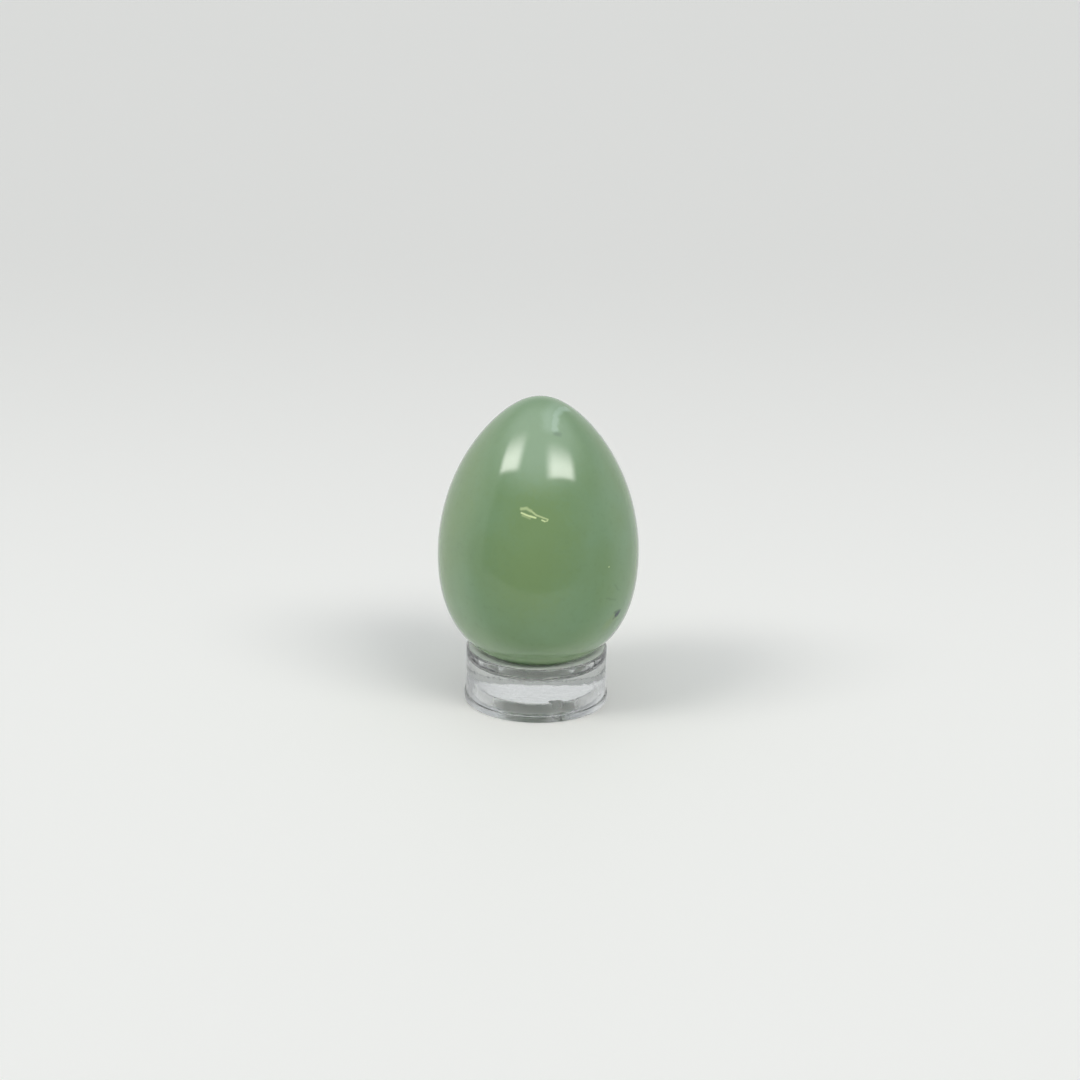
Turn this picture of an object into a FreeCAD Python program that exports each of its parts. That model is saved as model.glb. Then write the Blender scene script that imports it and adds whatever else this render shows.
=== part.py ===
import FreeCAD, Part
import math
import os

# Decorative stone egg on a clear moulded stand, in millimetres.
# The stand's underside lies on the plane z = 0, and both pieces share the axis Z.

# Egg: its width, its length and the shares that shape its outline.
egg_width = 36.0
egg_length = 49.5
egg_lean_share = 0.170      # carries the widest part down towards the blunt end
egg_shoulder_share = 0.037  # fills out both ends alike
egg_point_share = 0.126     # draws the upper end to a point
egg_outline_count = 25      # the outline curve passes through this many points
egg_trial_count = 721       # the widest part is sought at this many angles

# Stand: the outer wall and the flat rim on top.
stand_diameter = 25.4
stand_height = 10.0
rim_round = 0.3

# Stand: the thin lip round its foot.
foot_diameter = 25.9
foot_height = 1.2
foot_round = 0.12

# Stand: the dish for the egg, with a steep wall and a flat floor. Its upper edge carries the egg.
dish_diameter = 20.7
dish_floor_diameter = 20.2
dish_depth = 3.0
dish_edge_round = 0.15
dish_corner_round = 1.4

# Stand: the round hollow in its underside, wider at its mouth than at its roof.
hollow_diameter = 14.6
hollow_roof_diameter = 14.0
hollow_depth = 2.0
hollow_edge_round = 0.1
hollow_corner_round = 0.2

# Stand: the gate mark, a small block that moulding leaves under the hollow's roof, against its wall.
gate_width = 1.6
gate_length = 1.4
gate_height = 1.0
gate_angle_degrees = 28.5   # round from the front, towards the right

# The egg hangs this far clear of the edge that carries it.
seat_clearance = 0.03

# A rounded corner takes at most this share of the shorter side beside it.
corner_share = 0.45

# The gate mark runs on into the stand by this much.
overrun = 1.0

# The egg's resting height is found by this many halvings of the span that it may lie in.
halving_count = 40

Z_AXIS = FreeCAD.Vector(0, 0, 1)
ORIGIN = FreeCAD.Vector(0, 0, 0)
full_turn_degrees = 360


def point(radius, height):
    return FreeCAD.Vector(radius, 0, height)


def spread_angles(count):
    """Evenly spread angles from the blunt end, 0, to the pointed end, half a turn."""
    return [math.pi * i / (count - 1) for i in range(count)]


def swell(angle):
    """The egg's relative radius at an angle, a sine that three cosine terms push into an egg."""
    lean = math.cos(angle)
    return math.sin(angle) * (1 + egg_lean_share * lean + egg_shoulder_share * lean ** 2
                              + egg_point_share * lean ** 3)


def egg_outline():
    """The egg's half outline, from its blunt end at the origin up to its pointed end."""
    scale = egg_width / 2 / max(swell(angle) for angle in spread_angles(egg_trial_count))
    points = []
    for angle in spread_angles(egg_outline_count):
        points.append(point(scale * swell(angle), egg_length / 2 * (1 - math.cos(angle))))
    outwards = FreeCAD.Vector(1, 0, 0)
    curve = Part.BSplineCurve()
    curve.interpolate(Points=points, InitialTangent=outwards, FinalTangent=-outwards)
    return curve.toShape()


def rounded_face(corners):
    """A face whose outline runs through corners, each (radius, height, rounding)."""
    places = [point(radius, height) for radius, height, _ in corners]
    starts, ends, arcs = [], [], []
    for i, (_, _, rounding) in enumerate(corners):
        here = places[i]
        if not rounding:
            starts.append(here)
            ends.append(here)
            arcs.append(None)
            continue
        before = places[i - 1] - here
        after = places[(i + 1) % len(places)] - here
        half_angle = before.getAngle(after) / 2
        limit = corner_share * min(before.Length, after.Length)
        setback = min(rounding / math.tan(half_angle), limit)
        before.normalize()
        after.normalize()
        start = here + before * setback
        end = here + after * setback
        radius = setback * math.tan(half_angle)
        bisector = (before + after).normalize()
        centre = here + bisector * (radius / math.sin(half_angle))
        middle = centre - bisector * radius
        starts.append(start)
        ends.append(end)
        arcs.append(Part.Arc(start, middle, end).toShape())
    edges = []
    for i, arc in enumerate(arcs):
        if arc:
            edges.append(arc)
        edges.append(Part.LineSegment(ends[i], starts[(i + 1) % len(starts)]).toShape())
    return Part.Face(Part.Wire(edges))


def stand_section():
    """Half the stand's section: the hollow's roof and wall, the foot, the wall, the rim, the dish."""
    foot_radius = foot_diameter / 2
    wall_radius = stand_diameter / 2
    dish_floor = stand_height - dish_depth
    return rounded_face([
        (0, hollow_depth, 0),
        (hollow_roof_diameter / 2, hollow_depth, hollow_corner_round),
        (hollow_diameter / 2, 0, hollow_edge_round),
        (foot_radius, 0, foot_round),
        (foot_radius, foot_height, foot_round),
        (wall_radius, foot_height, foot_round),
        (wall_radius, stand_height, rim_round),
        (dish_diameter / 2, stand_height, dish_edge_round),
        (dish_floor_diameter / 2, dish_floor, dish_corner_round),
        (0, dish_floor, 0),
    ])


def gate_mark():
    """The block in the hollow, sunk into the stand above and on its outer side."""
    block = Part.makeBox(gate_length + overrun, gate_width, gate_height + overrun)
    inner_end = hollow_roof_diameter / 2 - gate_length
    block.translate(FreeCAD.Vector(inner_end, -gate_width / 2, hollow_depth - gate_height))
    block.rotate(ORIGIN, Z_AXIS, gate_angle_degrees - full_turn_degrees / 4)
    return block


def make_stand():
    body = stand_section().revolve(ORIGIN, Z_AXIS, full_turn_degrees)
    return body.fuse(gate_mark()).removeSplitter()


def resting_height(outline, section):
    """Height at which the egg, let down into the dish, first comes within the seat clearance."""
    low = 0
    high = stand_height + seat_clearance
    for _ in range(halving_count):
        height = (low + high) / 2
        lowered = outline.translated(FreeCAD.Vector(0, 0, height))
        if lowered.distToShape(section)[0] < seat_clearance:
            low = height
        else:
            high = height
    return high


def make_egg():
    outline = egg_outline()
    axis = Part.LineSegment(point(0, egg_length), point(0, 0)).toShape()
    solid = Part.Face(Part.Wire([outline, axis])).revolve(ORIGIN, Z_AXIS, full_turn_degrees)
    solid.translate(FreeCAD.Vector(0, 0, resting_height(outline, stand_section())))
    return solid


os.makedirs("parts", exist_ok=True)
pieces = {
    "egg": make_egg(),
    "stand": make_stand(),
}
for name, shape in pieces.items():
    shape.exportStep("parts/" + name + ".step")
    box = shape.optimalBoundingBox(False)
    print(name, "solids", len(shape.Solids), "valid", shape.isValid(), "volume %.2f" % shape.Volume,
          "z %.3f to %.3f" % (box.ZMin, box.ZMax), "width %.3f" % box.XLength)
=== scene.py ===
import math
import random

import bmesh
import bpy
from bpy.props import FloatProperty, FloatVectorProperty, IntProperty, PointerProperty
from mathutils import Matrix, Vector, noise


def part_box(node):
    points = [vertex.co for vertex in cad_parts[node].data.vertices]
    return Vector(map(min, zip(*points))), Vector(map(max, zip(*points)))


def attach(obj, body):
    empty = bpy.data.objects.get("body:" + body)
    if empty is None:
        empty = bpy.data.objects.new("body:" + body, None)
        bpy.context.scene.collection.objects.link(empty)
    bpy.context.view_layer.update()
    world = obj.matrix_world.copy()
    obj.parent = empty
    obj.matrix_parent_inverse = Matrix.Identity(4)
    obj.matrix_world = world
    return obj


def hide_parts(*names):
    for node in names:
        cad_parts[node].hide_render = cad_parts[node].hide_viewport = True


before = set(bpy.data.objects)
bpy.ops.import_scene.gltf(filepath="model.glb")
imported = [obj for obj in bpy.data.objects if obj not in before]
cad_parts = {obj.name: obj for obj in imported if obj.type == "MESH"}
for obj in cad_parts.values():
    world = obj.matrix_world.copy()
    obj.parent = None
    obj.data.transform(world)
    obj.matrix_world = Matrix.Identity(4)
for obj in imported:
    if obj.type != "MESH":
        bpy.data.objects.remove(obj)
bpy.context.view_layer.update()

bl_info = {
    "name": "Stone egg on a clear stand",
    "version": (1, 0, 0),
    "blender": (4, 5, 0),
    "location": "3D View > Sidebar > Egg",
    "description": "Builds a polished stone egg, its clear moulded stand and a pale studio",
    "category": "Add Mesh",
}

MM = 0.001
EGG_LOW, EGG_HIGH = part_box("egg")
STAND_LOW, STAND_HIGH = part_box("stand")


# Sizes and colours

class EggSettings(bpy.types.PropertyGroup):
    """Shape, colours and polish of the stone egg"""

    width: FloatProperty(
        name="Width", description="Width of the egg at its widest part", unit="LENGTH",
        default=EGG_HIGH.x - EGG_LOW.x)
    length: FloatProperty(
        name="Length", description="Length of the egg from end to end", unit="LENGTH",
        default=EGG_HIGH.z - EGG_LOW.z)
    foot: FloatProperty(
        name="Blunt end", description="Height of the blunt end above the table", unit="LENGTH",
        default=EGG_LOW.z)
    lean: FloatProperty(
        name="Lean", description="Carries the widest part down towards the blunt end",
        default=0.170)
    shoulder: FloatProperty(
        name="Shoulder", description="Fills out both ends alike", default=0.037)
    tip: FloatProperty(
        name="Tip", description="Draws the upper end to a point", default=0.126)
    segments: IntProperty(
        name="Segments", description="Faces round the egg", default=256)
    rows: IntProperty(
        name="Rows", description="Rows of faces from end to end", default=200)
    polish: FloatProperty(
        name="Polish", description="Roughness of the polished stone", subtype="FACTOR",
        default=0.075)
    green: FloatVectorProperty(
        name="Green", description="Colour of most of the stone", subtype="COLOR",
        default=(0.198, 0.317, 0.156))
    # Painted reflection: this colour also paints the cloud on the egg's front that stands in for
    # the tent's dark open front mirrored there.
    olive: FloatVectorProperty(
        name="Olive", description="Colour of the warmer clouds in the stone", subtype="COLOR",
        default=(0.209, 0.320, 0.134))
    mint: FloatVectorProperty(
        name="Mint", description="Colour of the paler, cooler clouds in the stone", subtype="COLOR",
        default=(0.211, 0.344, 0.198))
    # Painted glint: this colour also paints the bright glints on the egg's front, where light
    # catches the polish.
    gold_and_painted_glint: FloatVectorProperty(
        name="Gold", description="Colour of the bright mineral threads", subtype="COLOR",
        default=(0.74, 0.86, 0.46))
    milk: FloatVectorProperty(
        name="Milk", description="Colour of the pale feathers", subtype="COLOR",
        default=(0.42, 0.58, 0.45))
    dark: FloatVectorProperty(
        name="Dark", description="Colour of the dark grains", subtype="COLOR",
        default=(0.012, 0.045, 0.045))


class StandSettings(bpy.types.PropertyGroup):
    """Shape and plastic of the clear stand"""

    diameter: FloatProperty(
        name="Diameter", description="Outer diameter of the wall", unit="LENGTH", default=25.4 * MM)
    height: FloatProperty(
        name="Height", description="Height of the stand", unit="LENGTH",
        default=STAND_HIGH.z - STAND_LOW.z)
    rim_round: FloatProperty(
        name="Rim rounding", description="Rounding of the outer rim", unit="LENGTH",
        default=0.3 * MM)
    foot_diameter: FloatProperty(
        name="Foot diameter", description="Diameter of the lip round the foot", unit="LENGTH",
        default=STAND_HIGH.x - STAND_LOW.x)
    foot_height: FloatProperty(
        name="Foot height", description="Height of the lip round the foot", unit="LENGTH",
        default=1.2 * MM)
    foot_round: FloatProperty(
        name="Foot rounding", description="Rounding of the foot's edges", unit="LENGTH",
        default=0.12 * MM)
    dish_diameter: FloatProperty(
        name="Dish diameter", description="Diameter of the dish at the rim", unit="LENGTH",
        default=20.7 * MM)
    dish_floor: FloatProperty(
        name="Dish floor", description="Diameter of the dish's flat floor", unit="LENGTH",
        default=20.2 * MM)
    dish_depth: FloatProperty(
        name="Dish depth", description="Depth of the dish", unit="LENGTH", default=3.0 * MM)
    hollow_diameter: FloatProperty(
        name="Hollow diameter", description="Diameter of the hollow underneath, at its mouth",
        unit="LENGTH", default=14.6 * MM)
    hollow_roof: FloatProperty(
        name="Hollow roof", description="Diameter of the roof of the hollow underneath",
        unit="LENGTH", default=14.0 * MM)
    hollow_depth: FloatProperty(
        name="Hollow depth", description="Depth of the hollow underneath", unit="LENGTH",
        default=2.0 * MM)
    dish_corner: FloatProperty(
        name="Dish corner", description="Rounding between the dish's wall and its floor",
        unit="LENGTH", default=1.4 * MM)
    gate_width: FloatProperty(
        name="Gate width", description="Width of the gate mark in the hollow", unit="LENGTH",
        default=1.6 * MM)
    gate_length: FloatProperty(
        name="Gate length", description="Length of the gate mark, inwards from the hollow's wall",
        unit="LENGTH", default=1.4 * MM)
    gate_height: FloatProperty(
        name="Gate height", description="Height of the gate mark below the hollow's roof",
        unit="LENGTH", default=1.0 * MM)
    gate_angle: FloatProperty(
        name="Gate angle", description="Place of the gate mark, round from the front to the right",
        subtype="ANGLE", default=math.radians(28.5))
    segments: IntProperty(
        name="Segments", description="Faces round the stand", default=256)
    haze: FloatProperty(
        name="Haze", description="Roughness of the moulded plastic", subtype="FACTOR", default=0.05)
    # Painted light: on the flat rim this white stands in for light that the clear rim lets through
    # to the table; on the gate mark it is a scuffed finish.
    matt: FloatProperty(
        name="Matt", description="How white the rim and the gate mark are scuffed",
        subtype="FACTOR", default=1.0)
    ripple: FloatProperty(
        name="Ripple", description="Height of the shallow waves that moulding leaves",
        unit="LENGTH", default=0.018 * MM)
    refraction: FloatProperty(
        name="Refraction", description="Refractive index of the clear plastic", default=1.49)
    tint: FloatVectorProperty(
        name="Tint", description="Colour of the clear plastic", subtype="COLOR",
        default=(0.975, 0.985, 0.98))


class StudioSettings(bpy.types.PropertyGroup):
    """Camera, light and floor"""

    elevation: FloatProperty(
        name="Elevation", description="Angle from which the camera looks down", subtype="ANGLE",
        default=math.radians(22.5))
    distance: FloatProperty(
        name="Distance", description="Distance from the camera to the stand's foot", unit="LENGTH",
        default=0.6)
    tent: FloatProperty(
        name="Tent", description="Brightness of the white tent behind the object", default=0.72)
    fill: FloatProperty(
        name="Fill", description="Brightness of the even light from all round", default=0.39)
    side: FloatProperty(
        name="Sides", description="Brightness of the tent at both sides in front", default=0.32)
    apron: FloatProperty(
        name="Apron", description="Brightness of the table as polished pieces mirror it",
        default=0.25)
    ceiling: FloatProperty(
        name="Ceiling", description="Brightness of the tent straight above the object",
        default=1.20)
    opening: FloatProperty(
        name="Opening", description="Brightness of the tent's open front", default=0.04)
    lamp: FloatProperty(
        name="Lamp", description="Brightness of the two lamps overhead", default=7.0)
    floor: FloatVectorProperty(
        name="Floor", description="Colour of the floor", subtype="COLOR",
        default=(0.98, 0.98, 0.955))
    backdrop: FloatVectorProperty(
        name="Backdrop", description="Colour behind the floor", subtype="COLOR",
        default=(0.70, 0.715, 0.71))


# Small helpers for meshes

def mesh_object(name, verts, faces):
    """A smooth-shaded mesh object made of these points and faces."""
    mesh = bpy.data.meshes.new(name)
    mesh.from_pydata(verts, [], faces)
    mesh.validate()
    tidy = bmesh.new()
    tidy.from_mesh(mesh)
    bmesh.ops.remove_doubles(tidy, verts=tidy.verts, dist=1e-8)
    bmesh.ops.recalc_face_normals(tidy, faces=tidy.faces)
    for face in tidy.faces:
        face.smooth = True
    tidy.to_mesh(mesh)
    tidy.free()
    made = bpy.data.objects.new(name, mesh)
    bpy.context.scene.collection.objects.link(made)
    return made


def lathe(name, outline, segments):
    """Turns an outline of (radius, height), which starts and ends on the axis, about the axis Z."""
    inner = outline[1:-1]
    count = len(inner)
    verts = [(0, 0, outline[0][1]), (0, 0, outline[-1][1])]
    for turn in range(segments):
        angle = 2 * math.pi * turn / segments
        verts += [(r * math.cos(angle), r * math.sin(angle), z) for r, z in inner]
    faces = []
    for turn in range(segments):
        here = 2 + turn * count
        there = 2 + (turn + 1) % segments * count
        faces.append((0, there, here))
        faces += [(here + k, there + k, there + k + 1, here + k + 1) for k in range(count - 1)]
        faces.append((here + count - 1, there + count - 1, 1))
    return mesh_object(name, verts, faces)


# Small helpers for node trees

class Tree:
    """A node tree with one short method for each kind of node that the finishes use."""

    def __init__(self, tree):
        self.nodes, self.links = tree.nodes, tree.links
        self.nodes.clear()

    def add(self, kind, **settings):
        """A new node with these settings."""
        node = self.nodes.new("ShaderNode" + kind)
        for key, value in settings.items():
            setattr(node, key, value)
        return node

    def put(self, value, socket):
        """Links an output to a socket, or sets the socket to a number or colour."""
        if isinstance(value, bpy.types.NodeSocket):
            self.links.new(value, socket)
        elif hasattr(value, "__len__") and len(value) < len(socket.default_value):
            socket.default_value = (*value, 1)
        else:
            socket.default_value = value

    def calc(self, operation, *values, clamp=False):
        """The result of a calculation with numbers."""
        node = self.add("Math", operation=operation, use_clamp=clamp)
        for value, socket in zip(values, node.inputs):
            self.put(value, socket)
        return node.outputs[0]

    def vector(self, operation, *values, out=0):
        """A result of a calculation with vectors."""
        node = self.add("VectorMath", operation=operation)
        for value, socket in zip(values, node.inputs):
            self.put(value, socket)
        return node.outputs[out]

    def scaled(self, value, factor):
        """A vector times a number."""
        node = self.add("VectorMath", operation="SCALE")
        self.put(value, node.inputs[0])
        self.put(factor, node.inputs["Scale"])
        return node.outputs[0]

    def rise(self, value, low, high):
        """0 below low, 1 above high and smooth between. It falls where low is above high."""
        node = self.add("MapRange", interpolation_type="SMOOTHSTEP")
        self.put(value, node.inputs["Value"])
        ends = (low, high, 0.0, 1.0) if low < high else (high, low, 1.0, 0.0)
        for name, end in zip(("From Min", "From Max", "To Min", "To Max"), ends):
            node.inputs[name].default_value = end
        return node.outputs[0]

    def noise(self, place, scale, detail=3.0, roughness=0.5):
        """The outputs of a noise: a number, and a colour."""
        node = self.add("TexNoise")
        self.put(place, node.inputs["Vector"])
        for name, value in (("Scale", scale), ("Detail", detail), ("Roughness", roughness)):
            node.inputs[name].default_value = value
        return node.outputs

    def bump(self, height, strength, distance):
        """Normals that a height makes uneven."""
        node = self.add("Bump")
        node.inputs["Strength"].default_value = strength
        node.inputs["Distance"].default_value = distance
        self.put(height, node.inputs["Height"])
        return node.outputs[0]

    def between(self, share, first, second):
        """A number that goes from first to second as share goes from 0 to 1."""
        run = self.calc("SUBTRACT", second, first)
        return self.calc("MULTIPLY_ADD", run, share, first)

    def mix(self, share, first, second):
        """A colour that goes from first to second as share goes from 0 to 1."""
        node = self.add("Mix", data_type="RGBA")
        self.put(share, node.inputs[0])
        self.put(first, node.inputs[6])
        self.put(second, node.inputs[7])
        return node.outputs[2]


def material(name):
    """A new material, its node tree and its surface shader."""
    made = bpy.data.materials.new(name)
    made.use_nodes = True
    tree = Tree(made.node_tree)
    surface = tree.add("BsdfPrincipled")
    tree.put(surface.outputs[0], tree.add("OutputMaterial").inputs["Surface"])
    return made, tree, surface


# The egg

# Marks in the stone, painted glints and a painted reflection, in millimetres in the object's own
# frame:
# colour, strength, width, softness, waviness, and the points that the mark runs through.
# Painted glints: bright lines and a dot where light catches the polished front, painted into the
# colour.
PAINTED_GLINTS = [
    ("gold_and_painted_glint", 1.00, 0.11, 0.16, 0.10,
     [(-3.03, -15.36, 40.45), (-1.89, -15.68, 40.07), (-0.59, -15.88, 39.80)]),
    ("gold_and_painted_glint", 0.50, 0.14, 0.30, 0.14,
     [(-3.05, -15.08, 41.10), (-2.18, -15.17, 41.28), (-1.39, -15.43, 40.87)]),
    ("gold_and_painted_glint", 0.60, 0.08, 0.18, 0.10,
     [(-1.60, -15.36, 41.00), (-0.33, -15.75, 40.18), (0.88, -15.87, 39.79)]),
    ("gold_and_painted_glint", 0.60, 0.06, 0.14, 0.06, [(0.88, -15.87, 39.79), (1.58, -15.91, 39.54)]),
    ("gold_and_painted_glint", 0.95, 0.08, 0.14, 0.05, [(0.54, -15.99, 39.42), (1.07, -16.06, 39.21)]),
    ("gold_and_painted_glint", 0.70, 0.06, 0.12, 0.03,
     [(1.58, -15.91, 39.54), (1.50, -16.00, 39.30), (1.07, -16.06, 39.21)]),
    ("gold_and_painted_glint", 0.30, 0.08, 0.22, 0.10, [(-2.85, -15.54, 40.06), (-1.54, -15.87, 39.65)]),
    ("gold_and_painted_glint", 0.90, 0.07, 0.10, 0.00, [(12.42, -12.91, 29.87), (12.45, -12.88, 29.89)]),
]
GRAINS = [
    ("olive", 0.60, 0.14, 0.30, 0.08, [(-2.90, -15.24, 40.80), (-0.70, -15.72, 40.10)]),
    ("dark", 0.94, 0.34, 0.55, 0.30, [(14.30, -9.40, 19.95), (14.00, -9.85, 19.75)]),
    ("dark", 0.60, 0.16, 0.50, 0.25, [(14.55, -9.05, 20.15), (13.70, -10.25, 20.35)]),
    ("dark", 0.40, 0.10, 0.40, 0.25, [(14.10, -9.75, 19.60), (13.60, -10.30, 19.10)]),
    ("olive", 0.70, 0.45, 1.40, 0.60, [(13.90, -9.90, 19.50), (12.60, -11.20, 18.20)]),
    ("dark", 0.14, 0.05, 0.30, 0.25,
     [(12.21, -12.99, 24.00), (13.00, -12.10, 23.50), (13.84, -11.08, 23.11)]),
    ("dark", 0.14, 0.06, 0.35, 0.20, [(14.15, -10.97, 24.87), (13.58, -11.77, 26.10)]),
    ("dark", 0.26, 0.22, 0.60, 0.20, [(2.75, -7.55, 52.45), (3.24, -7.46, 52.38)]),
]
FEATHERS = [
    ("milk", 0.60, 0.40, 0.70, 0.30,
     [(4.50, -1.50, 55.10), (3.40, -2.60, 55.35), (2.65, -4.30, 54.85), (2.50, -5.80, 53.95),
      (2.45, -6.90, 53.15)]),
    ("milk", 0.30, 0.70, 1.60, 0.40,
     [(2.80, -2.20, 55.65), (1.70, -4.60, 54.95), (1.70, -6.60, 53.65)]),
]
CLOUDS_AND_PAINTED_REFLECTION = [
    ("mint", 0.75, 5.0, 11.0, 3.0, [(0.0, -10.0, 48.0), (0.0, 0.0, 57.0)]),
    # Painted reflection: this cloud on the front stands in for the tent's dark open front that the
    # polish mirrors.
    ("olive", 0.70, 2.5, 8.0, 3.0, [(0.0, -16.0, 39.0), (-1.0, -18.0, 29.0)]),
]
MARK_ORDER = ("mint", "milk", "olive", "dark", "gold_and_painted_glint")

WIDTH_TRIALS = 1440             # the widest part is sought at this many angles
MARK_CORE = 0.4                 # share of a mark's width that has its full strength
MARK_WAVES = 1.1 / MM           # scale of the waves that bend a mark

# Small marks on the egg's rear half, from least to most, in millimetres
SCATTER_TURN = (0.25, 0.75)     # place round the egg, as a share of a turn from the front
SCATTER_SPAN = (0.2, 1.3)
SCATTER_LEAN = (-0.9, 0.9)      # in radians
SCATTER_STRENGTH = (0.25, 0.6)
SCATTER_WIDTH = (0.04, 0.14)
SCATTER_SOFTNESS = (0.2, 0.6)
SCATTER_WAVINESS = 0.6

# The stone. Each pair gives the levels of a noise where a colour starts and where it is complete.
STONE_WANDER = 6 * MM           # how far the clouds' edges wander
OLIVE_CLOUDS = (0.42, 0.66)
OLIVE_SHARE = 0.5
PALE_CLOUDS = (0.45, 0.80)
PALE_SHIFT = (0.3, 0.1, 0.2)    # takes the pale clouds away from the olive ones
PALE_GRAIN = (0.50, 0.75)
DARK_GRAIN = (0.48, 0.28)
GRAIN_STRENGTH = 0.16
GRAIN_SHADE = 0.72              # how bright the dark grain is beside the green
POLISH_SPREAD = 0.03            # how much the polish varies
STONE_REFRACTION = 1.55
STONE_GLEAM = 1.0               # 0.5 is the shader's plain level


def swell(settings, angle):
    """The egg's relative radius at an angle, a sine that three cosine terms push into an egg."""
    lean = math.cos(angle)
    return math.sin(angle) * (1 + settings.lean * lean + settings.shoulder * lean ** 2
                              + settings.tip * lean ** 3)


def egg_outline(settings):
    """Half of the egg's outline as (radius, height), from its blunt end up to its tip."""
    trials = [math.pi * k / WIDTH_TRIALS for k in range(WIDTH_TRIALS + 1)]
    widest = max(swell(settings, angle) for angle in trials)
    angles = [math.pi * k / settings.rows for k in range(settings.rows + 1)]
    return [(settings.width / 2 * swell(settings, angle) / widest,
             settings.foot + settings.length / 2 * (1 - math.cos(angle))) for angle in angles]


def press_in(piece, depth):
    """Moves each point of a piece inwards, against its normal, by the depth at its place."""
    normals = [vertex.normal.copy() for vertex in piece.data.vertices]
    for vertex, normal in zip(piece.data.vertices, normals):
        vertex.co -= normal * depth(vertex.co)


def hand_polish(egg, depth, reach):
    """Presses faint flats into the egg, as hand polishing leaves them."""
    press_in(egg, lambda place: depth * (0.5 + 0.5 * noise.noise(place / reach)))


def line_distance(tree, place, points):
    """How far a place is from the line that runs through points."""
    nearest = None
    for start, end in zip(points, points[1:]):
        start, end = Vector(start) * MM, Vector(end) * MM
        run = end - start
        offset = tree.vector("SUBTRACT", place, tuple(start))
        along = tree.vector("DOT_PRODUCT", offset, tuple(run / run.length_squared), out=1)
        foot = tree.scaled(tuple(run), tree.calc("ADD", along, 0.0, clamp=True))
        distance = tree.vector("LENGTH", tree.vector("SUBTRACT", offset, foot), out=1)
        nearest = distance if nearest is None else tree.calc("MINIMUM", nearest, distance)
    return nearest


def mark_masks(tree, place, marks):
    """The strength of each colour's marks at a place."""
    masks = {}
    for name, strength, width, softness, waviness, points in marks:
        here = place
        if waviness:
            waves = tree.noise(place, scale=MARK_WAVES, detail=2.0)[1]
            shift = tree.vector("SUBTRACT", waves, (0.5, 0.5, 0.5))
            here = tree.vector("ADD", place, tree.scaled(shift, 2 * waviness * MM))
        mask = tree.rise(line_distance(tree, here, points),
                         (width + softness) * MM, width * MARK_CORE * MM)
        mask = tree.calc("MULTIPLY", mask, strength)
        masks[name] = mask if name not in masks else tree.calc("MAXIMUM", masks[name], mask)
    return masks


def scattered_marks(settings, seed, count):
    """Small grains and threads on the egg's rear half, each a short line along the surface."""
    draw = random.Random(seed)
    outline = egg_outline(settings)
    lowest, highest = len(outline) // 5, len(outline) * 4 // 5
    marks = []
    for _ in range(count):
        r, z = outline[draw.randrange(lowest, highest)]
        turn = draw.uniform(*SCATTER_TURN) * 2 * math.pi - math.pi / 2
        span = draw.uniform(*SCATTER_SPAN)
        lean = draw.uniform(*SCATTER_LEAN)
        kind = draw.choice(("gold_and_painted_glint", "dark", "dark"))
        points = []
        for step in (-0.5, 0.0, 0.5):
            angle = turn + span * step * math.cos(lean) * MM / r
            height = z + span * step * math.sin(lean) * MM
            points.append((r * math.cos(angle) / MM, r * math.sin(angle) / MM, height / MM))
        strength = draw.uniform(*SCATTER_STRENGTH)
        width = draw.uniform(*SCATTER_WIDTH)
        softness = draw.uniform(*SCATTER_SOFTNESS)
        marks.append((kind, strength, width, softness, SCATTER_WAVINESS, points))
    return marks


def stone_material(settings):
    """Green stone: soft clouds in three greens, pale feathers, bright threads and dark grains, with
    painted glints and a painted reflection on the front.
    """
    made, tree, surface = material("green_stone")
    place = tree.add("TexCoord").outputs["Object"]
    drift = tree.noise(place, scale=60.0, detail=2.0)[1]
    drift = tree.vector("SUBTRACT", drift, (0.5, 0.5, 0.5))
    bent = tree.vector("ADD", place, tree.scaled(drift, STONE_WANDER))
    clouds = tree.noise(bent, scale=45.0, detail=4.0, roughness=0.55)[0]
    clouds = tree.rise(clouds, *OLIVE_CLOUDS)
    colour = tree.mix(tree.calc("MULTIPLY", clouds, OLIVE_SHARE), settings.green, settings.olive)
    elsewhere = tree.vector("ADD", bent, PALE_SHIFT)
    pale = tree.rise(tree.noise(elsewhere, scale=70.0, detail=4.0)[0], *PALE_CLOUDS)
    colour = tree.mix(pale, colour, settings.mint)
    grain = tree.noise(place, scale=900.0, detail=3.0, roughness=0.6)[0]
    light = tree.calc("MULTIPLY", tree.rise(grain, *PALE_GRAIN), GRAIN_STRENGTH)
    shade = tree.calc("MULTIPLY", tree.rise(grain, *DARK_GRAIN), GRAIN_STRENGTH)
    colour = tree.mix(light, colour, settings.mint)
    colour = tree.mix(shade, colour, tuple(c * GRAIN_SHADE for c in settings.green))
    scattered = scattered_marks(settings, seed=11, count=12)
    masks = mark_masks(tree, place, CLOUDS_AND_PAINTED_REFLECTION + FEATHERS + GRAINS + scattered + PAINTED_GLINTS)
    for name in MARK_ORDER:
        colour = tree.mix(masks[name], colour, getattr(settings, name))
    tree.put(colour, surface.inputs["Base Color"])

    fine = tree.noise(place, scale=2600.0, detail=2.0)[0]
    smoothest = settings.polish - POLISH_SPREAD / 2
    tree.put(tree.calc("MULTIPLY_ADD", fine, POLISH_SPREAD, smoothest),
             surface.inputs["Roughness"])
    height = tree.noise(place, scale=500.0, detail=2.0)[0]
    tree.put(tree.bump(height, strength=0.04, distance=0.01 * MM), surface.inputs["Normal"])
    surface.inputs["IOR"].default_value = STONE_REFRACTION
    surface.inputs["Specular IOR Level"].default_value = STONE_GLEAM
    return made


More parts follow.
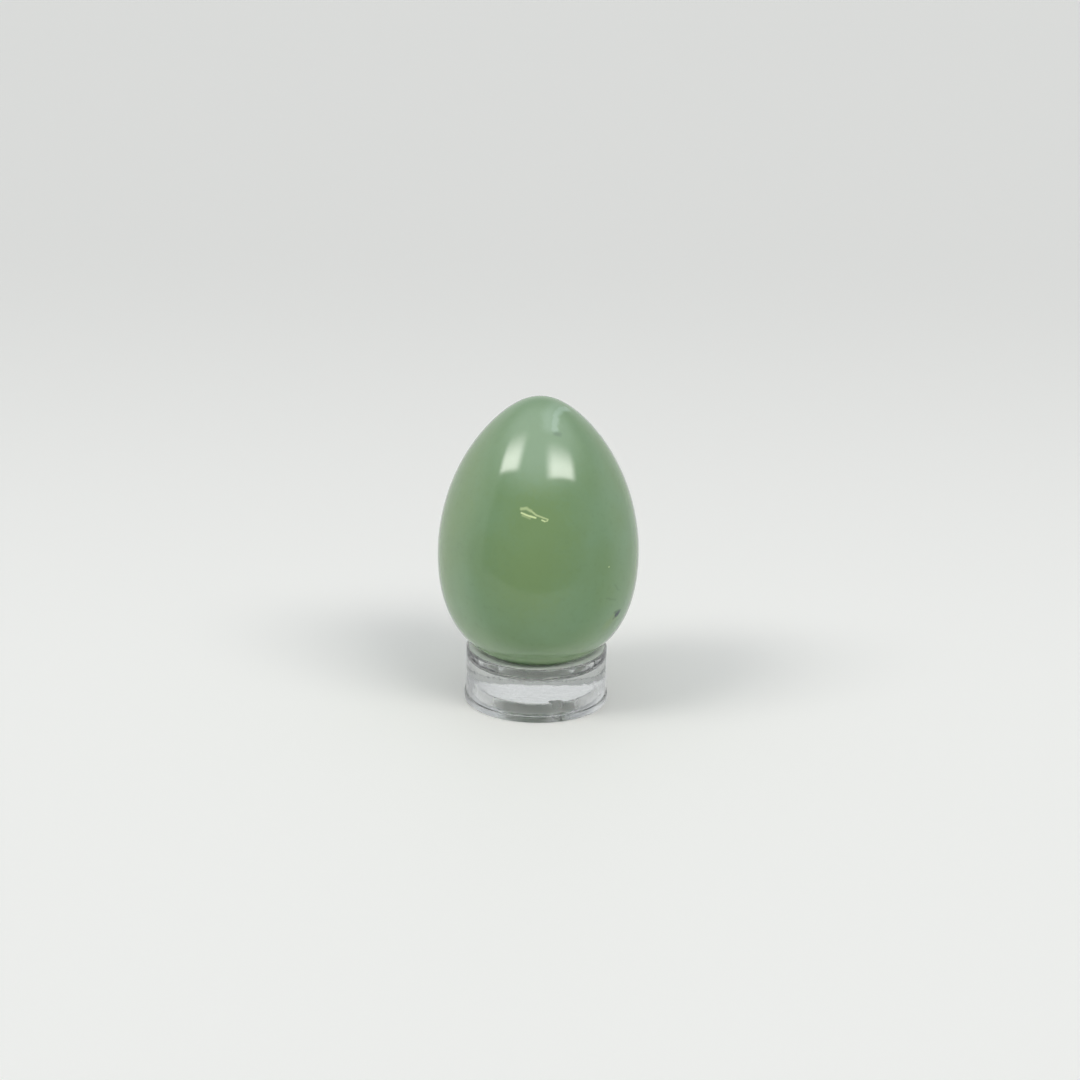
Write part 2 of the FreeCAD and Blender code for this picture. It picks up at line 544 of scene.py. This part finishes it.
class EGGSTAND_OT_egg(bpy.types.Operator):
    """Make the polished stone egg that rests in the stand"""

    bl_idname = "eggstand.make_egg"
    bl_label = "Make the stone egg"

    def execute(self, context):
        settings = context.scene.egg_settings
        egg = lathe("stone_egg", egg_outline(settings), settings.segments)
        hand_polish(egg, depth=0.035 * MM, reach=9 * MM)
        egg.data.materials.append(stone_material(settings))
        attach(egg, "egg")
        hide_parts("egg")
        return {"FINISHED"}


# The stand

HOLLOW_CORNER_ROUND = 0.2 * MM
HOLLOW_EDGE_ROUND = 0.1 * MM
DISH_EDGE_ROUND = 0.15 * MM
OUTLINE_RUN = 0.45 * MM         # long sides are cut into runs of this length
ARC_STEPS = 6                   # and rounded corners into this many

# The waves that moulding leaves
BROAD_WAVE = 3.4 * MM
FINE_WAVE = 1.3 * MM
FINE_WAVE_SHARE = 0.35
FINE_SHIFT = Vector((7, 3, 5))  # takes the fine waves away from the broad ones
UPRIGHT_STRETCH = 0.7           # the waves are longer upright than across

# What counts as part of the hollow, of the flat rim and of the gate mark. Each pair gives the
# distance where a finish starts and the distance where it is complete.
MOUTH_MARGIN = 0.01 * MM                    # out from the hollow's mouth
ROOF_MARGIN = 0.05 * MM                     # up from the hollow's roof
RIM_DROP = (0.12 * MM, 0.04 * MM)           # down from the rim
RIM_INSET = 0.25 * MM                       # in from the rim's rounding
GATE_ASIDE = 0.2 * MM                       # to both sides of the gate mark
GATE_INWARD = 0.5 * MM                      # from the gate mark to the stand's axis
WALL_FROM_ROOF = (0.25 * MM, 0.15 * MM)     # in from the edge of the hollow's roof
WALL_FROM_MOUTH = (0.10 * MM, 0.02 * MM)    # out from the hollow's mouth

# The plastic. Each pair gives the levels of a noise where an effect starts and is complete.
PAINTED_RIM_LIGHT_PATCHES = (0.15, 0.45)
HAZE_PATCHES = (0.35, 0.75)
GATE_SCUFF = 0.65               # how white the gate mark is beside the rim
MATT_ROUGHNESS = 0.4
WALL_ROUGHNESS = 0.26           # what the hollow's wall adds to the plastic's haze


def rounded_outline(corners):
    """An outline through corners, each (radius, height, rounding)."""
    places = [Vector(corner[:2]) for corner in corners]
    outline = []
    for k, (_, _, rounding) in enumerate(corners):
        here = places[k]
        points = [here]
        if rounding:
            before = (places[k - 1] - here).normalized()
            after = (places[k + 1] - here).normalized()
            half = before.angle(after) / 2
            setback = rounding / math.tan(half)
            centre = here + (before + after).normalized() * (rounding / math.sin(half))
            first = here + before * setback - centre
            sweep = first.angle_signed(here + after * setback - centre)
            points = [centre + Matrix.Rotation(-sweep * j / ARC_STEPS, 2) @ first
                      for j in range(ARC_STEPS + 1)]
        if outline:
            start, side = outline[-1], points[0] - outline[-1]
            cuts = max(1, round(side.length / OUTLINE_RUN))
            outline += [start + side * j / cuts for j in range(1, cuts)]
        outline += points
    return [(max(point.x, 0.0), point.y) for point in outline]


def stand_outline(settings):
    """Half of the stand's section, from the hollow's roof round to the dish's floor."""
    dish_floor = settings.height - settings.dish_depth
    wall = settings.diameter / 2
    foot = settings.foot_diameter / 2
    return rounded_outline([
        (0, settings.hollow_depth, 0),
        (settings.hollow_roof / 2, settings.hollow_depth, HOLLOW_CORNER_ROUND),
        (settings.hollow_diameter / 2, 0, HOLLOW_EDGE_ROUND),
        (foot, 0, settings.foot_round),
        (foot, settings.foot_height, settings.foot_round),
        (wall, settings.foot_height, settings.foot_round),
        (wall, settings.height, settings.rim_round),
        (settings.dish_diameter / 2, settings.height, DISH_EDGE_ROUND),
        (settings.dish_floor / 2, dish_floor, settings.dish_corner),
        (0, dish_floor, 0),
    ])


def press_gate_mark(stand, settings):
    """Draws the small block that the gate leaves out of the roof of the hollow underneath."""
    toward = Vector((math.sin(settings.gate_angle), -math.cos(settings.gate_angle)))
    inner = settings.hollow_roof / 2 - settings.gate_length
    kept = 1 - settings.gate_height / settings.hollow_depth
    for vertex in stand.data.vertices:
        flat = vertex.co.xy
        out, beside = flat.dot(toward), abs(flat.cross(toward))
        in_hollow = flat.length < settings.hollow_diameter / 2 + MOUTH_MARGIN
        if beside < settings.gate_width / 2 and out > inner and in_hollow:
            if vertex.co.z < settings.hollow_depth + ROOF_MARGIN:
                vertex.co.z *= kept


def mould_ripple(stand, settings):
    """Shallow waves in the walls, in the dish's floor and in the hollow's roof."""
    def depth(place):
        place = Vector((place.x, place.y, place.z * UPRIGHT_STRETCH))
        broad = noise.noise(place / BROAD_WAVE)
        fine = noise.noise(place / FINE_WAVE + FINE_SHIFT)
        waves = (1 - FINE_WAVE_SHARE) * broad + FINE_WAVE_SHARE * fine
        return settings.ripple * (1 + waves)

    press_in(stand, depth)


# Painted light: the flat rim is made matt white to stand in for the light that the clear rim lets
# through to the table.
def painted_rim_light_mask(tree, settings, radius, height, cloud):
    """1 on the flat rim, broken a little by soft clouds."""
    edge = settings.diameter / 2 - settings.rim_round
    top = tree.rise(height, *(settings.height - drop for drop in RIM_DROP))
    mask = tree.calc("MULTIPLY", top, tree.rise(radius, edge, edge - RIM_INSET))
    return tree.calc("MULTIPLY", mask, tree.rise(cloud, *PAINTED_RIM_LIGHT_PATCHES))


def gate_mask(tree, settings, place, low):
    """1 on the gate mark in the hollow, where low is 1."""
    toward = (math.sin(settings.gate_angle), -math.cos(settings.gate_angle), 0.0)
    aside = (math.cos(settings.gate_angle), math.sin(settings.gate_angle), 0.0)
    beside = tree.calc("ABSOLUTE", tree.vector("DOT_PRODUCT", place, aside, out=1))
    out = tree.vector("DOT_PRODUCT", place, toward, out=1)
    inner = settings.hollow_roof / 2 - settings.gate_length
    mask = tree.calc("LESS_THAN", beside, settings.gate_width / 2 + GATE_ASIDE)
    mask = tree.calc("MULTIPLY", mask, tree.calc("GREATER_THAN", out, inner - GATE_INWARD))
    mask = tree.calc("MULTIPLY", mask, tree.calc("LESS_THAN", out, settings.hollow_roof / 2))
    return tree.calc("MULTIPLY", mask, low)


def hollow_wall_mask(tree, settings, radius, low):
    """1 on the wall of the hollow underneath, where low is 1."""
    roof, mouth = settings.hollow_roof / 2, settings.hollow_diameter / 2
    outside = tree.rise(radius, *(roof - inset for inset in WALL_FROM_ROOF))
    inside = tree.rise(radius, *(mouth + outset for outset in WALL_FROM_MOUTH))
    return tree.calc("MULTIPLY", tree.calc("MULTIPLY", outside, inside), low)


def clear_material(settings):
    """Clear moulded plastic, faintly hazy and uneven, matt on the gate mark, and matt white on the
    flat rim as painted light.
    """
    made, tree, surface = material("clear_plastic")
    place = tree.add("TexCoord").outputs["Object"]
    split, flat = tree.add("SeparateXYZ"), tree.add("CombineXYZ")
    tree.put(place, split.inputs[0])
    tree.put(split.outputs[0], flat.inputs[0])
    tree.put(split.outputs[1], flat.inputs[1])
    radius, height = tree.vector("LENGTH", flat.outputs[0], out=1), split.outputs[2]
    low = tree.calc("LESS_THAN", height, settings.hollow_depth + ROOF_MARGIN)
    cloud = tree.noise(place, scale=420.0, detail=3.0)[0]
    # Painted light on the flat rim; the gate mark is scuffed.
    rim = painted_rim_light_mask(tree, settings, radius, height, cloud)
    gate = gate_mask(tree, settings, place, low)
    scuff_and_painted_light = tree.calc("MAXIMUM", rim, tree.calc("MULTIPLY", gate, GATE_SCUFF))
    scuff_and_painted_light = tree.calc("MULTIPLY", scuff_and_painted_light, settings.matt)
    tree.put(tree.calc("SUBTRACT", 1.0, scuff_and_painted_light), surface.inputs["Transmission Weight"])

    haze = tree.rise(tree.noise(place, scale=900.0, detail=3.0)[0], *HAZE_PATCHES)
    haze = tree.calc("MULTIPLY_ADD", haze, settings.haze, settings.haze / 2)
    wall = hollow_wall_mask(tree, settings, radius, low)
    haze = tree.calc("MULTIPLY_ADD", wall, WALL_ROUGHNESS, haze)
    tree.put(tree.calc("MULTIPLY_ADD", scuff_and_painted_light, MATT_ROUGHNESS, haze), surface.inputs["Roughness"])
    uneven = tree.noise(place, scale=800.0, detail=3.0, roughness=0.6)[0]
    tree.put(tree.bump(uneven, strength=1.0, distance=0.05 * MM), surface.inputs["Normal"])
    surface.inputs["Base Color"].default_value = (*settings.tint, 1)
    surface.inputs["IOR"].default_value = settings.refraction
    return made


class EGGSTAND_OT_stand(bpy.types.Operator):
    """Make the clear moulded stand with its dish, its foot and its gate mark"""

    bl_idname = "eggstand.make_stand"
    bl_label = "Make the clear stand"

    def execute(self, context):
        settings = context.scene.stand_settings
        stand = lathe("clear_stand", stand_outline(settings), settings.segments)
        press_gate_mark(stand, settings)
        mould_ripple(stand, settings)
        stand.data.materials.append(clear_material(settings))
        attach(stand, "stand")
        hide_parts("stand")
        return {"FINISHED"}


# The studio

# The tent, by direction: x is to the right, y to the rear and z up. Each pair gives the place
# where a change starts and the place where it is complete.
FRONT_LEFT = (math.radians(-60.0), math.radians(-70.0))     # the opening's edges, round from -Y
FRONT_RIGHT = (math.radians(42.0), math.radians(66.0))
FRONT_TOP = (0.50, 0.80)        # its upper edge, by z
FRONT_SILL = 0.405              # its lower edge in the middle, down from the horizon
SILL_ARCH = 0.24                # and how much that edge rises to the sides
SILL_SOFTNESS = 0.02
REAR_DEPTH = (-0.35, 0.45)      # the rear, by y
REAR_TOP = (0.75, 0.20)         # and by z
DIM_RIGHT = (0.2, 0.9)          # the tent's darker right side, by x
DIM_SHARE = 0.5
HORIZON = (-0.15, 0.10)         # from the table to the tent's wall, by z
OVERHEAD = (0.40, 0.85)         # the bright ceiling, by z
OVERHEAD_REAR = (0.0, 0.7)      # and its darker rear, by y
OVERHEAD_REAR_SHARE = 0.7
FILL_FROM_FRONT = 0.65          # share of the even light that the opening gives too
TENT_WHITE = (0.95, 0.99, 1.03)

# Each lamp is a slanted box on the tent's ceiling, seen as x/z and y/z: its middle, half of its
# front side, half of its run to the rear, and how much it narrows on the way. Its edges are soft,
# and are given in those halves.
LAMPS = (
    ((-0.860, -0.380), (0.340, -0.130), (0.215, 0.270), 0.12),
    ((0.690, -0.640), (0.450, 0.125), (-0.108, 0.295), 0.12),
)
LAMP_SIDES = (1.30, 0.55)
LAMP_FRONT = (-1.22, -0.78)
LAMP_REAR = (1.3, -0.4)
LAMP_LOWEST = (0.1, 0.2)        # no lamp below this z
LAMP_WHITE = (1.0, 0.975, 0.935)
LAMP_MIRRORED = 0.66            # share of a lamp's brightness that polished pieces mirror
LOWEST_RISE = 0.05              # least z that x and y are divided by


def tent_glow(tree, settings, direction, path):
    """The glow of the tent in each direction, and how much of its rear shows there."""
    x, y, z = direction
    turn = tree.calc("ARCTAN2", x, tree.calc("MULTIPLY", y, -1.0))
    beside = tree.calc("MAXIMUM", tree.rise(turn, *FRONT_LEFT), tree.rise(turn, *FRONT_RIGHT))
    sill = tree.calc("MULTIPLY_ADD", tree.calc("MULTIPLY", x, x), -SILL_ARCH, FRONT_SILL)
    below = tree.rise(tree.calc("ADD", z, sill), SILL_SOFTNESS, -SILL_SOFTNESS)
    closed = tree.calc("MAXIMUM", beside, tree.calc("MAXIMUM", tree.rise(z, *FRONT_TOP), below))

    dimmer = tree.calc("MULTIPLY_ADD", tree.rise(x, *DIM_RIGHT), -DIM_SHARE, 1.0)
    rear = tree.calc("MULTIPLY", tree.rise(y, *REAR_DEPTH), tree.rise(z, *REAR_TOP))
    rear = tree.calc("MULTIPLY", rear, dimmer)
    wall = tree.between(rear, settings.side, settings.tent)
    apron = tree.between(rear, settings.apron, settings.tent)
    glow = tree.between(tree.rise(z, *HORIZON), apron, wall)
    glow = tree.between(closed, settings.opening, tree.calc("MULTIPLY", glow, dimmer))
    front = tree.calc("MULTIPLY_ADD", tree.rise(y, *OVERHEAD_REAR), -OVERHEAD_REAR_SHARE, 1.0)
    overhead = tree.calc("MULTIPLY", tree.rise(z, *OVERHEAD), front)
    glow = tree.calc("MULTIPLY_ADD", overhead, settings.ceiling - settings.side, glow)
    fill = tree.between(closed, FILL_FROM_FRONT * settings.fill, settings.fill)
    return tree.between(path["Is Diffuse Ray"], glow, fill), rear


def lamp_glow(tree, direction, path):
    """The glow of the two lamps in each direction, a third dimmer in mirror rays."""
    x, y, z = direction
    rise = tree.calc("MAXIMUM", z, LOWEST_RISE)
    across, along = tree.calc("DIVIDE", x, rise), tree.calc("DIVIDE", y, rise)
    glow = 0.0
    for (mid_x, mid_y), (side_x, side_y), (end_x, end_y), taper in LAMPS:
        off_x, off_y = tree.calc("SUBTRACT", across, mid_x), tree.calc("SUBTRACT", along, mid_y)
        area = side_x * end_y - side_y * end_x
        aside = tree.calc("MULTIPLY_ADD", off_x, end_y / area,
                          tree.calc("MULTIPLY", off_y, -end_x / area))
        back = tree.calc("MULTIPLY_ADD", off_x, -side_y / area,
                         tree.calc("MULTIPLY", off_y, side_x / area))
        aside = tree.calc("DIVIDE", aside, tree.calc("MULTIPLY_ADD", back, -taper, 1.0))
        lamp = tree.rise(tree.calc("ABSOLUTE", aside), *LAMP_SIDES)
        for value, ends in ((back, LAMP_FRONT), (back, LAMP_REAR), (z, LAMP_LOWEST)):
            lamp = tree.calc("MULTIPLY", lamp, tree.rise(value, *ends))
        glow = tree.calc("ADD", glow, lamp)
    return tree.calc("MULTIPLY", glow, tree.between(path["Is Glossy Ray"], 1.0, LAMP_MIRRORED))


def tent_light(settings):
    """A world that is a white tent with an open front and two soft lamps in its ceiling.

    Pieces are lit more evenly than they mirror the tent. The camera sees a plain backdrop all
    round, and polished and clear pieces see the same backdrop in the tent's rear.
    """
    world = bpy.data.worlds.new("white_tent")
    bpy.context.scene.world = world
    world.use_nodes = True
    tree = Tree(world.node_tree)
    split = tree.add("SeparateXYZ")
    tree.put(tree.add("TexCoord").outputs["Generated"], split.inputs[0])
    path = tree.add("LightPath").outputs
    glow, rear = tent_glow(tree, settings, split.outputs, path)
    lamps = lamp_glow(tree, split.outputs, path)
    warm = tree.scaled(tuple(settings.lamp * c for c in LAMP_WHITE), lamps)
    tent, backdrop = tree.add("Background"), tree.add("Background")
    tree.put(tree.vector("ADD", tree.scaled(TENT_WHITE, glow), warm), tent.inputs["Color"])
    tree.put(settings.backdrop, backdrop.inputs["Color"])
    polished = tree.calc("MAXIMUM", path["Is Glossy Ray"], path["Is Transmission Ray"])
    shown = tree.calc("MAXIMUM", path["Is Camera Ray"], tree.calc("MULTIPLY", polished, rear))
    choice = tree.add("MixShader")
    tree.put(shown, choice.inputs[0])
    tree.put(tent.outputs[0], choice.inputs[1])
    tree.put(backdrop.outputs[0], choice.inputs[2])
    tree.put(choice.outputs[0], tree.add("OutputWorld").inputs["Surface"])


# The floor keeps these shares of its brightness, in soft clouds and, as painted shade, to the rear
# and far away.
# The distances are in metres. Each pair is where the floor starts to darken and where it stops.
FLOOR_CLOUD = 0.985
FLOOR_FAR = 0.815
FLOOR_REAR = (-0.03, 0.33)      # to the rear
FLOOR_REACH = (0.45, 1.60)      # from the stand
FLOOR_SIDE = 4.0
FLOOR_GAP = 0.04 * MM           # keeps the floor clear of the stand's underside
FLOOR_ROUGHNESS = 0.6


def make_floor(settings):
    """A pale table top under the stand. Polished pieces mirror the tent's lower part instead."""
    made, tree, surface = material("pale_floor")
    place = tree.add("TexCoord").outputs["Object"]
    split = tree.add("SeparateXYZ")
    tree.put(place, split.inputs[0])
    cloud = tree.noise(place, scale=4.0, detail=2.0)[0]
    colour = tree.mix(cloud, tuple(c * FLOOR_CLOUD for c in settings.floor), settings.floor)
    # Painted shade: the floor is darker to the rear and far away, as if less light reached it
    # there, down to the backdrop's level.
    far = tree.calc("MAXIMUM", tree.rise(split.outputs[1], *FLOOR_REAR),
                    tree.rise(tree.vector("LENGTH", place, out=1), *FLOOR_REACH))
    colour = tree.mix(far, colour, tuple(c * FLOOR_FAR for c in settings.floor))
    tree.put(colour, surface.inputs["Base Color"])
    surface.inputs["Roughness"].default_value = FLOOR_ROUGHNESS
    edge = FLOOR_SIDE / 2
    corners = [(-edge, -edge), (edge, -edge), (edge, edge), (-edge, edge)]
    floor = mesh_object("floor", [(x, y, -FLOOR_GAP) for x, y in corners], [(0, 1, 2, 3)])
    floor.data.materials.append(made)
    floor.visible_glossy = False


# The picture is 1080 pixels square. In it the middle of the stand's foot is at FOOT_PIXEL, the
# stand's wall is WALL_PIXELS wide, and the view is turned by PICTURE_TURN.
PICTURE_SIDE = 1080
FOOT_PIXEL = (535.7, 695.3)
WALL_PIXELS = 139.6
PICTURE_TURN = math.radians(1.03)


def make_camera(studio, stand):
    """A camera in front, above the table, with the stand's foot at its place in the picture."""
    middle = PICTURE_SIDE / 2
    foot_x, foot_y = FOOT_PIXEL
    pixels = studio.distance / (stand.diameter / WALL_PIXELS)
    camera = bpy.data.objects.new("camera", bpy.data.cameras.new("camera"))
    bpy.context.scene.collection.objects.link(camera)
    camera.data.angle = 2 * math.atan(middle / pixels)
    camera.data.clip_start = 10 * MM
    back = Vector((0, -math.cos(studio.elevation), math.sin(studio.elevation)))
    right = Vector((1, 0, 0))
    upright = Matrix((right, back.cross(right), back)).transposed()
    level = Matrix.Rotation(PICTURE_TURN, 3, "Z")
    sight = Vector(((foot_x - middle) / pixels, (middle - foot_y) / pixels, -1)).normalized()
    aim = sight.rotation_difference(Vector((0, 0, -1))).to_matrix()
    turned = (upright @ level @ aim).to_4x4()
    camera.matrix_world = Matrix.Translation(back * studio.distance) @ turned
    bpy.context.scene.camera = camera


class EGGSTAND_OT_camera(bpy.types.Operator):
    """Place the camera at the angle of an eye above a table"""

    bl_idname = "eggstand.make_camera"
    bl_label = "Place the camera"

    def execute(self, context):
        make_camera(context.scene.studio_settings, context.scene.stand_settings)
        return {"FINISHED"}


class EGGSTAND_OT_stage(bpy.types.Operator):
    """Make the pale floor and the soft light of the studio"""

    bl_idname = "eggstand.make_stage"
    bl_label = "Make the studio"

    def execute(self, context):
        settings = context.scene.studio_settings
        make_floor(settings)
        tent_light(settings)
        context.scene.view_settings.view_transform = "Standard"
        return {"FINISHED"}


class EGGSTAND_PT_panel(bpy.types.Panel):
    """Lists the steps that build the egg and its stand"""

    bl_idname = "EGGSTAND_PT_panel"
    bl_label = "Egg on a stand"
    bl_space_type = "VIEW_3D"
    bl_region_type = "UI"
    bl_category = "Egg"

    def draw(self, context):
        for operator in OPERATORS:
            self.layout.operator(operator.bl_idname)
        for group in ("egg_settings", "stand_settings", "studio_settings"):
            box = self.layout.box()
            for name in getattr(context.scene, group).__annotations__:
                box.prop(getattr(context.scene, group), name)


OPERATORS = (EGGSTAND_OT_camera, EGGSTAND_OT_egg, EGGSTAND_OT_stand, EGGSTAND_OT_stage)
CLASSES = (EggSettings, StandSettings, StudioSettings, *OPERATORS, EGGSTAND_PT_panel)


def register():
    for each in CLASSES:
        bpy.utils.register_class(each)
    bpy.types.Scene.egg_settings = PointerProperty(type=EggSettings)
    bpy.types.Scene.stand_settings = PointerProperty(type=StandSettings)
    bpy.types.Scene.studio_settings = PointerProperty(type=StudioSettings)


def unregister():
    del bpy.types.Scene.studio_settings
    del bpy.types.Scene.stand_settings
    del bpy.types.Scene.egg_settings
    for each in reversed(CLASSES):
        bpy.utils.unregister_class(each)


def main():
    register()
    bpy.ops.eggstand.make_camera()
    bpy.ops.eggstand.make_egg()
    bpy.ops.eggstand.make_stand()
    bpy.ops.eggstand.make_stage()


if __name__ == "__main__":
    main()
